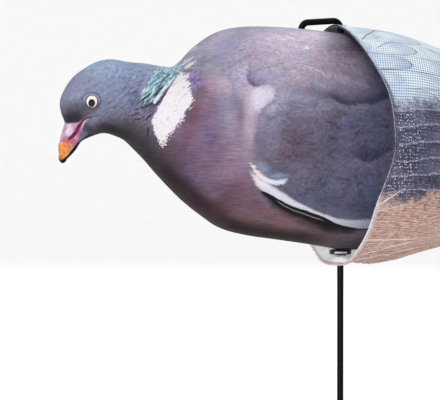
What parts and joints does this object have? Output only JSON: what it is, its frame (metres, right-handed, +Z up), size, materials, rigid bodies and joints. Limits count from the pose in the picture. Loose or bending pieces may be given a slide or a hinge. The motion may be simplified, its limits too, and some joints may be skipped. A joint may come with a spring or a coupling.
{
  "type": "wood pigeon decoy",
  "caption": "Feeding wood pigeon decoy on a ground stake: a moulded painted bird with a cloth wind sleeve open round its rear.",
  "frame": {"origin": "middle of the stake's flat foot, at the ground", "axes": "+Z up along the stake, the bird faces -X, Y = 0 is its plane of symmetry"},
  "size_m": [0.4052, 0.144, 0.2775],
  "materials": {
    "painted_body": "matt printed plumage",
    "black_stake": "black coated steel rod",
    "black_rubber": "satin black",
    "printed_cloth": "thin woven polyester, printed outside, white inside"
  },
  "bodies": {
    "root": {"pigeon_body": "painted_body", "ground_stake": "black_stake", "stake_washer": "black_rubber", "wind_sleeve": "printed_cloth"}
  },
  "joints": []
}
